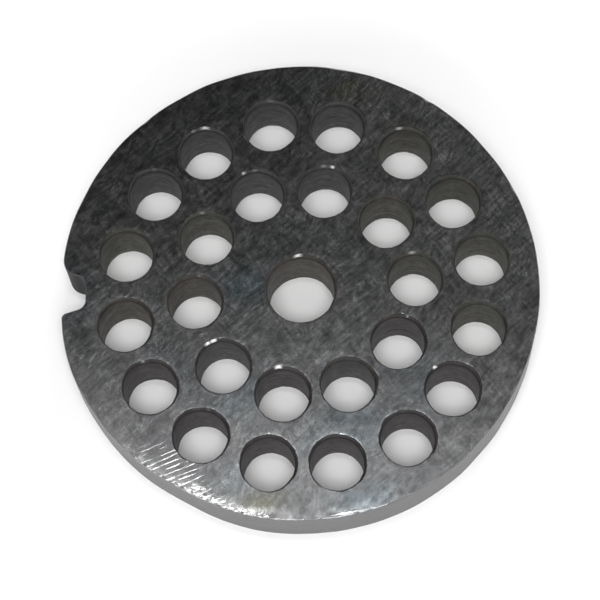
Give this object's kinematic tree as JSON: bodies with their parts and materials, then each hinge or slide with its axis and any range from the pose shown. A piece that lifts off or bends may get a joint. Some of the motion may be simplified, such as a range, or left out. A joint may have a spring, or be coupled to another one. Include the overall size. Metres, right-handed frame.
{
  "type": "meat grinder plate",
  "caption": "Flat round steel grinder plate with a centre bore, two rings of straight discharge holes and a locating notch in its rim.",
  "frame": {"origin": "on the rim's axis, at the underside the plate lies on", "axes": "+Z out of the upper face, parallel to the bore; the rim notch is on the -X side; +Y completes the frame"},
  "size_m": [0.07, 0.07, 0.0088],
  "materials": {
    "plate_steel": "dark ground steel, coarse grinding marks on the faces, turned rim, worn edges"
  },
  "bodies": {
    "root": {"grinder_plate": "plate_steel"}
  },
  "joints": []
}
